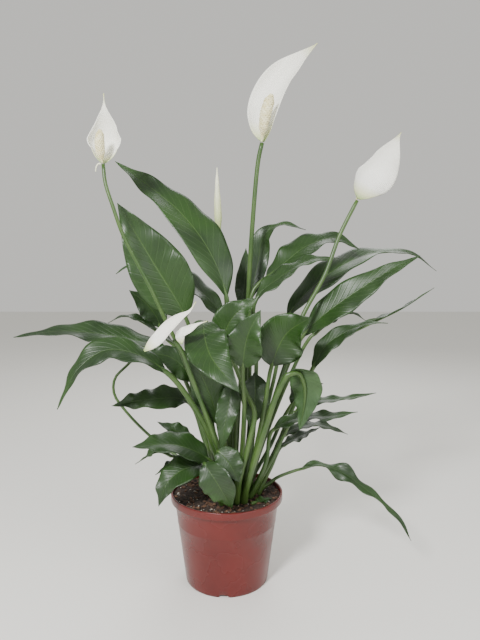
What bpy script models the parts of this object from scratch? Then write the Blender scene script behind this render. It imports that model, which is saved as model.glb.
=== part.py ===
"""Potted peace lily: a flowering houseplant in a round plastic nursery pot.

A tapered pot with a rolled rim holds a plug of potting soil. Thirty-nine leaves, each one
blade on its own long stalk, rise from the middle of the soil, with five flowers among them.
A flower is a stalk, a pale hooded spathe and a knobbly spadix.

The origin is the centre of the pot's flat underside, +Z is up and -Y is the front.
Lengths in the constants and tables are millimetres.
"""
import math

import bmesh
import bpy
from mathutils import Vector

MM = 0.001

# pot
POT_HEIGHT = 104.0
RIM_RADIUS = 65.0
BASE_RADIUS = 48.0
LIP_HEIGHT = 8.4
LIP_WALL = 2.4
WALL_UNDER_LIP = 60.4
WALL = 1.6
FLOOR = 2.0
RING_HEIGHT = 70.0
RING_STEP = 0.6
EDGE = 0.8
SLOT_COUNT = 3
SLOT_WIDTH = 11.0
SLOT_HEIGHT = 3.5
SLOT_DEPTH = 9.0
SLOT_TURN = math.radians(-93.0)
TURNED_STEPS = 48

# soil
GAP = 0.3
SOIL_TOP = 99.0
SOIL_EDGE_DROP = 0.8

# leaves
STALK_START = SOIL_TOP + GAP
LEAF_THICKNESS = 1.2
RIB_HEIGHT = 1.6
TIP_HALF_WIDTH = 0.7
LEAF_SEGMENTS = 4
LEAF_FOLD = math.radians(14.0)
LEAF_WAVE = 1.0
BLADE_STATIONS = (0.0, 0.07, 0.17, 0.29, 0.42, 0.55, 0.68, 0.80, 0.90, 0.97, 1.0)
STALK_STATIONS = 5
LOOP_STATIONS = 14

# flowers
SPATHE_THICKNESS = 1.1
SPATHE_SEGMENTS = 6
SPATHE_STATIONS = (0.0, 0.05, 0.13, 0.23, 0.35, 0.48, 0.61, 0.74, 0.86, 0.95, 1.0)
TUBE_SIDES = 8
SPADIX_SIDES = 10

# Each leaf: where its stalk leaves the soil, the points its stalk and the midrib of its blade
# pass through, the blade's full width, and the way the upper face looks at blade base and tip.
LEAVES = (
    dict(name="leaf_tall_left", root=(7, 1), stalk=((6, 0, 164), (4, -12, 271)),
         blade=((1, -22, 331), (-19, -16, 382), (-50, -6, 423), (-89, 6, 456), (-127, 18, 484)),
         width=54, face=((0.35, -0.7, 0.6), (0.35, -0.7, 0.6))),
    dict(name="leaf_broad_left", root=(-1, -5), stalk=((-13, -3, 165), (-29, -3, 247)),
         blade=((-44, -22, 308), (-78, -38, 371), (-112, -44, 430)),
         width=64, face=((0.1, -1, 0.15), (0.1, -1, 0.15))),
    dict(name="leaf_behind_left", root=(2.7, 6.6), stalk=((-4, 22, 169), (-1, 32, 240)),
         blade=((-6, 35, 303), (-44, 30, 345), (-87, 20, 363), (-113, 10, 365), (-126, 5, 356)),
         width=40, face=((0.1, -0.6, 0.8), (0.1, -0.3, 0.9))),
    dict(name="leaf_looping_stalk", root=(-14, 8), radius=1.6, stations=LOOP_STATIONS,
         stalk=((-39, 25, 119), (-93, 40, 154), (-127, 46, 187), (-141, 50, 207),
                (-140, 52, 226), (-124, 56, 243), (-102, 62, 266)),
         blade=((-85, 62, 288), (-96, 55, 314), (-119, 45, 336)),
         width=34, face=((0, -0.9, 0.4), (0, -0.9, 0.4))),
    dict(name="leaf_slim_left", root=(-7.6, 15.6), stalk=((-27, 42, 151), (-44, 46, 225)),
         blade=((-65, 44, 269), (-96, 38, 295), (-122, 30, 306), (-141, 22, 298)),
         width=22, face=((0, -0.15, 1), (0, -0.15, 1))),
    dict(name="leaf_long_left", root=(-7, -2.5), stalk=((-24, 2, 163), (-46, 10, 226)),
         blade=((-67, 4, 266), (-114, -8, 284), (-180, -25, 294), (-227, -40, 289)),
         width=38, face=((0, -0.5, 0.87), (0, -0.5, 0.87))),
    dict(name="leaf_arched_left", root=(-1, -20), radius=2.8,
         stalk=((-13, -34, 165), (-38, -50, 223)),
         blade=((-61, -60, 255), (-90, -68, 275), (-120, -75, 280), (-146, -85, 262),
                (-166, -90, 223)),
         width=34, face=((0.2, -0.5, 0.9), (-0.6, -0.6, 0.4))),
    dict(name="leaf_mid_left", root=(-7.6, 9), stalk=((-28, 26, 156),),
         blade=((-47, 24, 203), (-90, 8, 210), (-131, -8, 206)),
         width=32, wave=2.0, face=((0.05, -0.75, 0.65), (0.05, -0.75, 0.65))),
    dict(name="leaf_low_left", root=(4.8, -23), stalk=((-4, -40, 134),),
         blade=((-18, -43.6, 155.4), (-53, -62, 178), (-93, -84, 183)),
         width=42, face=((-0.1, -0.5, 0.86), (-0.1, -0.5, 0.86))),
    dict(name="leaf_low_left_rear", root=(-4.3, 3.3), stalk=((-22, 10, 127),),
         blade=((-38, 13, 152), (-56, 13, 168), (-82, 12, 182)),
         width=24, face=((0.3, -0.6, 0.75), (0.3, -0.6, 0.75))),
    dict(name="leaf_low_left_slim", root=(-12, -16), radius=1.8,
         stalk=((-20, -20, 121), (-31, -23, 132), (-46, -26, 145)),
         blade=((-58, -28, 154), (-75, -34, 162), (-99, -42, 150)),
         width=18, face=((-0.2, 0.1, 1), (-0.2, 0.1, 1))),
    dict(name="leaf_drooping_left", root=(-6, -24), stalk=((-12, -30, 127),),
         blade=((-24, -36, 145), (-43, -48, 147), (-61, -58, 136), (-71, -62, 111)),
         width=36, face=((-0.1, -0.6, 0.8), (-0.5, -0.8, 0.3))),
    dict(name="leaf_drooping_left_rear", root=(-13, -5), radius=1.8, stalk=((-26, 4, 114),),
         blade=((-41, 2, 131), (-60, -9, 138), (-81, -18, 129)),
         width=18, face=((-0.1, -0.2, 1), (-0.1, -0.2, 1))),
    dict(name="leaf_over_soil", root=(-4, -31), stalk=((-10, -44, 126),),
         blade=((-22, -62.5, 158), (-9, -72.5, 142), (7, -58, 107)),
         width=38, face=((-0.3, -0.9, 0.2), (-0.3, -0.9, 0.2))),
    dict(name="leaf_over_soil_rear", root=(4, -30.8), stalk=((3.2, -45, 135),),
         blade=((-8, -54.5, 169), (4, -62, 158), (15, -60, 137)),
         width=32, face=((0, -0.9, 0.45), (0, -0.9, 0.45))),
    dict(name="leaf_front", root=(11, -29), radius=2.5, stations=9,
         stalk=((16, -46, 138), (26, -52, 180), (31, -54, 211), (22, -46, 229), (7, -38, 264)),
         blade=((-21, -48, 306), (-14, -93, 278.4), (15, -125, 248)),
         width=46, face=((0, -0.6, 0.8), (-0.2, -0.8, 0.5))),
    dict(name="leaf_folded_centre", root=(13, -19.5), stalk=((19, -36, 175), (20, -56, 219)),
         blade=((18.5, -63, 260), (24, -76.5, 297), (36, -79, 321)),
         width=42, fold=math.radians(26.0), face=((-0.2, -0.95, 0.2), (-0.2, -0.95, 0.2))),
    dict(name="leaf_broad_centre", root=(20.3, -16), stalk=((35, -28, 172), (43, -46, 222)),
         blade=((49, -48, 259), (63, -58, 294), (86, -80, 314)),
         width=54, face=((0, -0.95, 0.3), (0, -0.95, 0.3))),
    dict(name="leaf_dark_centre", root=(5.5, -5.5), stalk=((2, -8, 166), (-5, -18, 238)),
         blade=((-4, -25, 279), (7, -32, 309), (33, -35, 331)),
         width=38, face=((0.1, -0.9, 0.4), (0.1, -0.9, 0.4))),
    dict(name="leaf_upright_rear", root=(8.8, 11.7), stalk=((12, 34, 153), (17, 50, 249)),
         blade=((19, 57, 311), (22, 62, 360), (23, 75, 388)),
         width=24, face=((0, -1, 0.2), (0, -0.6, 0.9))),
    dict(name="leaf_hooked_rear", root=(14.6, 8.8), stalk=((19, 26, 156), (24, 32, 252)),
         blade=((28, 37, 324), (37, 40, 370), (44, 38, 401), (65, 30, 414), (92, 22, 407)),
         width=26, face=((0.1, -1, 0.1), (-0.2, -0.4, 0.9))),
    dict(name="leaf_high_right", root=(12, -4),
         stalk=((25, 2, 163), (27, 8, 256), (30, 10, 335)),
         blade=((46, 14, 352), (69, 20, 370), (93, 25, 388), (127, 30, 398), (158, 35, 385)),
         width=40, face=((-0.2, -0.6, 0.8), (0.2, -0.5, 0.8))),
    dict(name="leaf_high_right_slim", root=(18.2, -4), stalk=((30, -6, 166), (34, -8, 259)),
         blade=((33, -10, 327), (60, -8, 352), (92, -5, 371), (127, 0, 374)),
         width=30, face=((-0.1, -0.4, 0.9), (-0.1, -0.4, 0.9))),
    dict(name="leaf_long_right", root=(20.8, 4.6), stalk=((38, 18, 158), (56, 28, 229)),
         blade=((73, 38, 303), (92, 44, 329), (115, 48, 349), (144, 52, 368), (181, 58, 381),
                (228, 62, 380), (260, 64, 359)),
         width=44, face=((-0.4, -0.7, 0.6), (0.1, -0.1, 1))),
    dict(name="leaf_broad_right", root=(24, -1.2), stalk=((42, 3, 163), (64, 5, 233)),
         blade=((87, 0, 285), (111, -8, 311), (150, -18, 341), (180, -25, 361),
                (209, -30, 376)),
         width=40, face=((-0.2, -0.75, 0.65), (-0.2, -0.75, 0.65))),
    dict(name="leaf_right_rear", root=(24, 12), stalk=((45, 32, 154), (74, 36, 227)),
         blade=((102, 34, 282), (129, 30, 303), (148, 25, 310), (164, 22, 301)),
         width=20, face=((0, -0.2, 1), (0, -0.2, 1))),
    dict(name="leaf_mid_right", root=(29.4, -6), radius=2.0, stations=7,
         stalk=((55, -5, 148), (71, -10, 184), (85, -13, 211), (92, -16, 238)),
         blade=((96, -20, 252), (110, -26, 278), (133, -32, 295), (157, -36, 304),
                (174, -38, 304)),
         width=24, face=((-0.3, -0.8, 0.5), (0, -0.2, 1))),
    dict(name="leaf_long_right_slim", root=(30.2, 0.7),
         stalk=((58, 9, 151), (74, 12, 190), (93, 10, 232)),
         blade=((107, 5, 257), (132, 4, 283), (165, 0, 301), (198, -6, 318), (232, -10, 341)),
         width=20, face=((-0.3, 0.2, 0.9), (-0.3, 0.2, 0.9))),
    dict(name="leaf_turned_right", root=(19, -26), radius=3.0, stations=7,
         stalk=((26, -44, 137), (33, -50, 163), (44, -58, 201), (54, -68, 234)),
         blade=((65, -75, 256), (75, -70, 258), (83, -61, 242), (84, -54, 220), (79, -50, 190)),
         width=36, face=((0.2, 0.6, 0.8), (0.6, 0.8, 0.2))),
    dict(name="leaf_low_right_upper", root=(36, -2), stalk=((55, 0, 140), (67, 0, 176)),
         blade=((78, 0, 196), (98, -2, 209), (133, -2, 213), (172, -2, 220)),
         width=16, face=((0, -0.3, 0.95), (0, -0.3, 0.95))),
    dict(name="leaf_low_right", root=(26.4, -13.3), stalk=((45, -16, 143),),
         blade=((52, -22, 182), (82, -26, 197), (115, -26, 199), (146, -26, 204)),
         width=24, face=((0, -0.3, 0.95), (0, -0.3, 0.95))),
    dict(name="leaf_low_right_rear", root=(27, 6.3), stalk=((50, 18, 126),),
         blade=((65, 22, 160), (87, 22, 173), (114, 22, 175), (145, 22, 164)),
         width=22, face=((0, -0.2, 1), (0, -0.2, 1))),
    dict(name="leaf_low_right_under", root=(30, 16), stalk=((50, 28, 115),),
         blade=((66, 34, 145), (84, 36, 155), (99, 37, 161), (114, 38, 168)),
         width=20, face=((0, -0.2, 1), (0, -0.2, 1))),
    dict(name="leaf_nodding_right", root=(16.3, -10), stalk=((27, -14, 162), (31, -14, 209)),
         blade=((32, -16, 244), (32, -28, 218), (27, -32, 186)),
         width=34, face=((0, -0.9, 0.4), (0, -0.9, 0.1))),
    dict(name="leaf_nodding_left", root=(9.7, -10.6), stalk=((10, -16, 169), (12, -20, 216)),
         blade=((9, -25.4, 237), (1, -41.6, 205), (-5, -48.8, 166)),
         width=26, face=((0, -0.9, 0.4), (0, -0.9, 0.1))),
    dict(name="leaf_trailing_right", root=(36, 9), radius=1.8,
         stalk=((49, 12, 106), (60, 15, 113)),
         blade=((84, 16, 122), (109, 14, 130), (139, 5, 121), (168, -8, 102), (196, -20, 79),
                (210, -25, 54)),
         width=17, wave=2.5, face=((0, -0.3, 1), (0.4, -0.6, 0.6))),
    dict(name="leaf_small_right", root=(24, 22), stalk=((53, 40, 144), (66, 46, 171)),
         blade=((79, 48, 193), (98, 48, 218), (118, 44, 221)),
         width=24, face=((-0.2, -0.7, 0.7), (-0.2, -0.7, 0.7))),
    dict(name="leaf_small_left", root=(-6.8, -9), stalk=((-21, -15, 180),),
         blade=((-36, -20, 236), (-59, -26, 264), (-89, -34, 272)),
         width=32, face=((-0.1, -0.8, 0.6), (-0.1, -0.8, 0.6))),
    dict(name="leaf_inner_left", root=(3.2, -11.3), stalk=((0, -16, 157),),
         blade=((-7, -20, 187), (-21, -26, 231), (-41, -34, 278)),
         width=40, face=((-0.1, -1, 0.2), (-0.1, -1, 0.2))),
)
STALK_RADIUS = 2.2

# A stray piece of leaf lies flat on the soil at the right of the pot.
FALLEN_LEAF = dict(name="fallen_leaf", stations=2, radius=1.2,
                   stalk=((28, -33, 101.2), (30, -31.5, 101.2)),
                   blade=((33, -29, 101.3), (42, -23, 101.6), (52, -17, 101.2)),
                   width=15, face=((0, 0, 1), (0, 0, 1)))

# Flower stalks: the soil point, the points the stalk passes through, its radius at the soil.
STALKS = (
    ("flower_left_stalk", (-2.6, -14), 2.4, 16,
     ((-9, -24, 165), (-33, -40, 234), (-51, -56, 286), (-62, -64, 312), (-73, -70, 339),
      (-88, -72, 369), (-102, -72, 398), (-110, -72, 422), (-118, -70, 447), (-120, -68, 465))),
    ("flower_top_stalk", (13.6, 2.4), 3.2, 12,
     ((19, 12, 160), (23, 17, 255), (26, 14, 349), (30, 8, 417), (36, 4, 483), (40, 2, 501))),
    ("flower_right_stalk", (23.2, -7.8), 2.8, 13,
     ((40, -10, 167), (64, -20, 250), (83, -24, 308), (109, -15, 355), (126, -8, 399),
      (145, -5, 437))),
    ("flower_twisted_stalk", (6.8, -16.5), 2.6, 13,
     ((2.4, -25, 125), (-8, -43.2, 165), (-25, -63, 224), (-36, -75, 260), (-43, -80, 281),
      (-50, -84.5, 292))),
    ("flower_bud_stalk", (5.8, 17.5), 2.6, 10,
     ((4, 44, 150), (2, 54, 249), (-2, 57, 323), (-7, 56, 379), (-10, 55, 399))),
)
STALK_TAPER = 0.75

# Spathes: the midrib points, full width, half angle of the cup, position of the widest part,
# how sharply the far end narrows, and the way the hollow side looks.
SPATHES = (
    ("flower_left_spathe",
     ((-120, -66.4, 466.6), (-120, -57, 477), (-120, -52.5, 490), (-119.5, -55, 504),
      (-119.5, -61, 517), (-119, -65, 534)),
     46, 80, 0.34, 2.6, (0.05, -1, 0.1)),
    ("flower_top_spathe",
     ((41.2, 3.9, 502.6), (44, 12, 524), (50.5, 18, 549), (64, 16, 574), (80, 8, 591),
      (99, -4, 605)),
     52, 62, 0.38, 1.3, (-0.5, -0.8, 0.15)),
    ("flower_right_spathe",
     ((146.3, -6.6, 438.8), (151, -12, 451), (162, -16, 469), (176, -11, 488),
      (193, -2, 511)),
     54, 60, 0.34, 1.5, (0.55, 0.8, 0.0)),
    ("flower_twisted_spathe",
     ((-78.5, -92, 282), (-66, -92, 292), (-55, -91, 304), (-43, -89, 315), (-34, -87, 321),
      (-28, -84, 330)),
     15, 50, 0.36, 1.9, (-0.2, -0.9, 0.4)),
    ("flower_twisted_bract",
     ((-42.6, -86.5, 288), (-42.6, -88.5, 298), (-34, -89.5, 303), (-26, -89, 308),
      (-17, -88, 311)),
     10, 50, 0.30, 2.0, (0, -0.9, 0.4)),
)

# Round pieces with a changing radius: their centre points and the radius at each point.
SPINDLES = (
    ("flower_left_spadix",
     ((-120.4, -69.3, 466.2), (-121, -71, 470), (-121.6, -72, 476), (-122, -73, 484),
      (-121.5, -73.5, 492), (-121, -73.5, 497)),
     (0.7, 1.5, 4.0, 4.4, 3.6, 1.2)),
    ("flower_top_spadix",
     ((39.6, 0.8, 502.0), (40, -3, 509), (41, -6, 517), (43.5, -8, 530), (47, -8.5, 542),
      (50, -8, 550)),
     (0.9, 1.6, 4.6, 6.0, 5.6, 2.0)),
    ("flower_right_spadix",
     ((144.6, -3.9, 438.2), (147, -1, 443), (150, 2, 450), (155, 5.5, 460), (160, 8, 469),
      (163, 9, 475)),
     (0.8, 1.5, 4.2, 5.2, 4.6, 1.6)),
    ("flower_bud_spathe",
     ((-10.1, 55, 399.7), (-10.6, 55, 410), (-11.1, 55, 424), (-11.7, 55, 442),
      (-12.1, 54.6, 462), (-12.2, 54, 483)),
     (1.5, 3.0, 4.6, 4.2, 2.6, 0.6)),
    ("flower_left_curl",
     ((-122.4, -68, 465.6), (-124.6, -68, 465.6), (-126.8, -68, 463), (-127.9, -68, 458)),
     (0.8, 0.8, 0.7, 0.5)),
)

COLOURS = {
    "pot_plastic": (0.30, 0.022, 0.016, 1.0),
    "soil": (0.035, 0.020, 0.014, 1.0),
    "leaf_green": (0.035, 0.130, 0.018, 1.0),
    "stalk_green": (0.130, 0.240, 0.050, 1.0),
    "spathe_white": (0.86, 0.86, 0.78, 1.0),
    "spadix_cream": (0.72, 0.64, 0.34, 1.0),
}


def clear_scene():
    for obj in list(bpy.data.objects):
        bpy.data.objects.remove(obj, do_unlink=True)


def new_collection(name):
    collection = bpy.data.collections.new(name)
    bpy.context.scene.collection.children.link(collection)
    return collection


def new_material(name, colour, roughness):
    material = bpy.data.materials.new(name)
    material.use_nodes = True
    shader = material.node_tree.nodes["Principled BSDF"]
    shader.inputs["Base Color"].default_value = colour
    shader.inputs["Roughness"].default_value = roughness
    return material


def add_object(name, mesh, collection, colour_name, roughness, smooth=True):
    obj = bpy.data.objects.new(name, mesh)
    collection.objects.link(obj)
    mesh.materials.append(new_material(name, COLOURS[colour_name], roughness))
    for polygon in mesh.polygons:
        polygon.use_smooth = smooth
    return obj


def passing_curve(points):
    """Smooth curve through the points; returns fine samples and the sample at each point."""
    knots = [Vector(p) for p in points]
    knots = [2 * knots[0] - knots[1]] + knots + [2 * knots[-1] - knots[-2]]
    fine = 24
    samples = []
    marks = [0]
    for a, b, c, d in zip(knots, knots[1:], knots[2:], knots[3:]):
        t1 = (b - a).length ** 0.5
        t2 = t1 + (c - b).length ** 0.5
        t3 = t2 + (d - c).length ** 0.5
        for step in range(fine):
            t = t1 + (t2 - t1) * step / fine
            a1 = a.lerp(b, t / t1)
            a2 = b.lerp(c, (t - t1) / (t2 - t1))
            a3 = c.lerp(d, (t - t2) / (t3 - t2))
            b1 = a1.lerp(a2, t / t2)
            b2 = a2.lerp(a3, (t - t1) / (t3 - t1))
            samples.append(b1.lerp(b2, (t - t1) / (t2 - t1)))
        marks.append(len(samples))
    samples.append(knots[-2])
    return samples, marks


def running_lengths(samples):
    lengths = [0.0]
    for a, b in zip(samples, samples[1:]):
        lengths.append(lengths[-1] + (b - a).length)
    return lengths


def point_at(samples, lengths, distance):
    distance = min(max(distance, 0.0), lengths[-1])
    for index in range(1, len(lengths)):
        if lengths[index] >= distance:
            span = lengths[index] - lengths[index - 1]
            return samples[index - 1].lerp(samples[index], (distance - lengths[index - 1]) / span)
    return samples[-1]


def frame_at(samples, lengths, distance, face):
    """Centre point, sideways and upward directions of a cross-section."""
    reach = 0.8
    ahead = point_at(samples, lengths, distance + reach)
    behind = point_at(samples, lengths, distance - reach)
    along = (ahead - behind).normalized()
    side = along.cross(face).normalized()
    return point_at(samples, lengths, distance), side, side.cross(along)


def loft_mesh(name, rings):
    """Closed body through rings of equal length, in millimetres, with flat ends."""
    mesh = bpy.data.meshes.new(name)
    body = bmesh.new()
    loops = [[body.verts.new(p * MM) for p in ring] for ring in rings]
    for lower, upper in zip(loops, loops[1:]):
        count = len(lower)
        for i in range(count):
            j = (i + 1) % count
            body.faces.new((lower[i], lower[j], upper[j], upper[i]))
    body.faces.new(list(reversed(loops[0])))
    body.faces.new(loops[-1])
    bmesh.ops.recalc_face_normals(body, faces=body.faces)
    bmesh.ops.triangulate(body, faces=body.faces)
    body.to_mesh(mesh)
    body.free()
    return mesh


def round_ring(centre, side, up, radius, sides):
    return [centre + side * (radius * math.cos(2 * math.pi * i / sides))
            + up * (radius * math.sin(2 * math.pi * i / sides)) for i in range(sides)]


def sheet_ring(centre, side, up, half, fold, cup, thickness, segments, wave):
    """Thin cross-section, sharp at both margins: across the top, then back underneath."""
    ring = []
    for i in range(2 * segments):
        on_top = i <= segments
        u = 1 - 2 * i / segments if on_top else -1 + 2 * (i - segments) / segments
        across = half * u
        height = 0.0
        if cup > 0.0:
            bend = half / cup
            across = bend * math.sin(u * cup)
            height = bend * (1 - math.cos(u * cup))
        height += abs(across) * math.tan(fold)
        lift = 0.0
        if abs(u) < 0.99:
            lift = thickness / 2 if on_top else -thickness / 2
        else:
            height += wave if u > 0 else -wave
        tilt = u * cup
        ring.append(centre + side * (across - lift * math.sin(tilt))
                    + up * (height + lift * math.cos(tilt)))
    return ring


def blade_outline(t):
    """Half width of a leaf blade along its length, 0 to 1, with a drawn-out point."""
    return math.sin(math.pi * t ** 0.78) ** 0.95 * (1 - 0.3 * t ** 2) if 0 < t < 1 else 0.0


def leaf_rings(spec):
    """Rings of one leaf: a round stalk that flattens into a folded, pointed blade."""
    start = ()
    if "root" in spec:
        start = ((spec["root"][0], spec["root"][1], STALK_START),)
    stalk = start + spec["stalk"]
    samples, marks = passing_curve(stalk + spec["blade"])
    lengths = running_lengths(samples)
    stalk_length = lengths[marks[len(stalk)]]
    blade_length = lengths[-1] - stalk_length
    radius = spec.get("radius", STALK_RADIUS)
    fold = spec.get("fold", LEAF_FOLD)
    wave = spec.get("wave", LEAF_WAVE)
    face_base = Vector(spec["face"][0]).normalized()
    face_tip = Vector(spec["face"][1]).normalized()
    stations = spec.get("stations", STALK_STATIONS)
    rings = []
    for i in range(stations):
        distance = stalk_length * i / stations
        centre, side, up = frame_at(samples, lengths, distance, face_base)
        thick = radius * (1.25 - 0.25 * i / stations)
        ring = round_ring(centre, side, up, thick, 2 * LEAF_SEGMENTS)
        if i == 0 and "root" in spec:
            ring = [Vector((p.x, p.y, STALK_START)) for p in ring]
        rings.append(ring)
    for i, t in enumerate(BLADE_STATIONS):
        face = face_base.lerp(face_tip, t).normalized()
        centre, side, up = frame_at(samples, lengths, stalk_length + blade_length * t, face)
        narrowest = TIP_HALF_WIDTH if t > 0.5 else radius
        half = max(spec["width"] / 2 * blade_outline(t), narrowest)
        thickness = LEAF_THICKNESS if t < 0.9 else 0.75 * LEAF_THICKNESS
        thickness += RIB_HEIGHT * max(0.0, 1 - 2 * t) ** 2
        ripple = wave * math.sin(2.4 * (i + stations)) if 0.1 < t < 0.9 else 0.0
        flat = sheet_ring(centre, side, up, half, fold, 0.0, thickness, LEAF_SEGMENTS, ripple)
        round_part = round_ring(centre, side, up, radius, 2 * LEAF_SEGMENTS)
        share = min(1.0, t / BLADE_STATIONS[1])
        rings.append([a.lerp(b, share) for a, b in zip(round_part, flat)])
    return rings


def stalk_rings(root, points, radius, stations):
    samples, marks = passing_curve(((root[0], root[1], STALK_START),) + points)
    lengths = running_lengths(samples)
    face = Vector((0.3, -1.0, 0.2)).normalized()
    rings = []
    for i in range(stations):
        share = i / (stations - 1)
        centre, side, up = frame_at(samples, lengths, lengths[-1] * share, face)
        thick = radius * (1 - (1 - STALK_TAPER) * share)
        ring = round_ring(centre, side, up, thick, TUBE_SIDES)
        if i == 0:
            ring = [Vector((p.x, p.y, STALK_START)) for p in ring]
        rings.append(ring)
    return rings


def spathe_rings(points, width, cup_degrees, widest, taper, face):
    """Rings of a hooded sheet, widest part way up and drawn out to a thin tip."""
    samples, marks = passing_curve(points)
    lengths = running_lengths(samples)
    hollow = Vector(face).normalized()
    rings = []
    for t in SPATHE_STATIONS:
        centre, side, up = frame_at(samples, lengths, lengths[-1] * t, hollow)
        rise = math.sin(0.5 * math.pi * min(t / widest, 1.0)) ** 0.7
        fall = math.cos(0.5 * math.pi * max(0.0, (t - widest) / (1 - widest))) ** taper
        half = max(width / 2 * rise * fall, 1.6 if t == 0.0 else TIP_HALF_WIDTH)
        cup = math.radians(cup_degrees) * min(1.0, 0.25 + half / (width / 2))
        rings.append(sheet_ring(centre, side, up, half, 0.0, cup, SPATHE_THICKNESS,
                                SPATHE_SEGMENTS, 0.0))
    return rings


def spindle_rings(points, radii, sides):
    samples, marks = passing_curve(points)
    lengths = running_lengths(samples)
    face = Vector((0.3, -1.0, 0.2)).normalized()
    rings = []
    for mark, radius in zip(marks, radii):
        centre, side, up = frame_at(samples, lengths, lengths[mark], face)
        rings.append(round_ring(centre, side, up, radius, sides))
    return rings


def turned(name, profile, collection):
    """Body of revolution about the Z axis from a profile in millimetres."""
    mesh = bpy.data.meshes.new(name)
    body = bmesh.new()
    verts = [body.verts.new((r * MM, 0.0, z * MM)) for r, z in profile]
    for a, b in zip(verts, verts[1:]):
        body.edges.new((a, b))
    body.to_mesh(mesh)
    body.free()
    obj = bpy.data.objects.new(name, mesh)
    collection.objects.link(obj)
    screw = obj.modifiers.new("turn", "SCREW")
    screw.axis = "Z"
    screw.steps = TURNED_STEPS
    screw.render_steps = TURNED_STEPS
    screw.use_merge_vertices = True
    screw.merge_threshold = 0.0001
    screw.use_smooth_shade = True
    return obj


def add_box(name, size, centre, turn, collection):
    mesh = bpy.data.meshes.new(name)
    body = bmesh.new()
    bmesh.ops.create_cube(body, size=1.0)
    bmesh.ops.scale(body, verts=body.verts, vec=Vector(size) * MM)
    bmesh.ops.translate(body, verts=body.verts, vec=Vector(centre) * MM)
    body.to_mesh(mesh)
    body.free()
    obj = bpy.data.objects.new(name, mesh)
    obj.rotation_euler = (0.0, 0.0, turn)
    obj.hide_render = True
    obj.display_type = "WIRE"
    collection.objects.link(obj)
    return obj


def outer_wall(z):
    """Outer radius of the tapered wall at a height below the rim."""
    return BASE_RADIUS + (WALL_UNDER_LIP - BASE_RADIUS) * z / (POT_HEIGHT - LIP_HEIGHT)


def build_pot(collection, cutters):
    lip_under = POT_HEIGHT - LIP_HEIGHT
    ring = outer_wall(RING_HEIGHT)
    profile = (
        (0.0, FLOOR),
        (outer_wall(FLOOR) - WALL - EDGE, FLOOR),
        (outer_wall(FLOOR + EDGE) - WALL, FLOOR + EDGE),
        (WALL_UNDER_LIP - WALL, lip_under - EDGE),
        (RIM_RADIUS - LIP_WALL, lip_under + WALL),
        (RIM_RADIUS - LIP_WALL, POT_HEIGHT - EDGE),
        (RIM_RADIUS - LIP_WALL + 0.3, POT_HEIGHT - 0.2),
        (RIM_RADIUS - LIP_WALL + EDGE, POT_HEIGHT),
        (RIM_RADIUS - EDGE, POT_HEIGHT),
        (RIM_RADIUS - 0.2, POT_HEIGHT - 0.3),
        (RIM_RADIUS, POT_HEIGHT - EDGE),
        (RIM_RADIUS, lip_under + 0.4),
        (RIM_RADIUS - 0.4, lip_under),
        (WALL_UNDER_LIP, lip_under),
        (ring + RING_STEP, RING_HEIGHT + 2.0),
        (ring + RING_STEP, RING_HEIGHT),
        (ring, RING_HEIGHT - 0.4),
        (outer_wall(EDGE), EDGE),
        (BASE_RADIUS - EDGE, 0.0),
        (0.0, 0.0),
    )
    pot = turned("pot", profile, collection)
    pot.data.materials.append(new_material("pot", COLOURS["pot_plastic"], 0.35))
    for index in range(SLOT_COUNT):
        turn = SLOT_TURN + index * 2 * math.pi / SLOT_COUNT
        reach = BASE_RADIUS - SLOT_DEPTH / 2 + 2.0
        slot = add_box("drain_slot_%d" % (index + 1), (SLOT_DEPTH + 4.0, SLOT_WIDTH, 7.0),
                       (reach, 0.0, SLOT_HEIGHT - 3.5), turn, cutters)
        cut = pot.modifiers.new("slot_%d" % (index + 1), "BOOLEAN")
        cut.object = slot
        cut.operation = "DIFFERENCE"
        cut.solver = "EXACT"
    return pot


def build_soil(collection):
    lip_under = POT_HEIGHT - LIP_HEIGHT
    floor = FLOOR + GAP
    inset = WALL + 0.4
    profile = (
        (0.0, SOIL_TOP),
        (RIM_RADIUS - LIP_WALL - 8.0, SOIL_TOP - 0.2),
        (RIM_RADIUS - LIP_WALL - 0.4, SOIL_TOP - SOIL_EDGE_DROP),
        (RIM_RADIUS - LIP_WALL - 0.4, lip_under + WALL + 0.4),
        (WALL_UNDER_LIP - inset, lip_under - EDGE + 0.2),
        (outer_wall(12.0) - inset, 12.0),
        (outer_wall(12.0) - inset - 8.0, floor),
        (0.0, floor),
    )
    soil = turned("potting_soil", profile, collection)
    soil.data.materials.append(new_material("potting_soil", COLOURS["soil"], 0.95))
    return soil


clear_scene()
plant = new_collection("potted_peace_lily")
cutting = new_collection("cutters")
build_pot(plant, cutting)
build_soil(plant)
for leaf in LEAVES + (FALLEN_LEAF,):
    add_object(leaf["name"], loft_mesh(leaf["name"], leaf_rings(leaf)), plant,
               "leaf_green", 0.35)
for stalk_name, root_point, stalk_radius, ring_count, route in STALKS:
    rings_made = stalk_rings(root_point, route, stalk_radius, ring_count)
    add_object(stalk_name, loft_mesh(stalk_name, rings_made), plant, "stalk_green", 0.4)
for spathe_name, ribs, full_width, cup_angle, widest_at, narrowing, looks in SPATHES:
    rings_made = spathe_rings(ribs, full_width, cup_angle, widest_at, narrowing, looks)
    add_object(spathe_name, loft_mesh(spathe_name, rings_made), plant, "spathe_white", 0.5)
for spindle_name, centres, sizes in SPINDLES:
    colour = "spadix_cream" if "spadix" in spindle_name else "spathe_white"
    rings_made = spindle_rings(centres, sizes, SPADIX_SIDES)
    add_object(spindle_name, loft_mesh(spindle_name, rings_made), plant, colour, 0.6)
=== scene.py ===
import math
import random

import bmesh
import bpy
from mathutils import Matrix, Vector, noise


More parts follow.
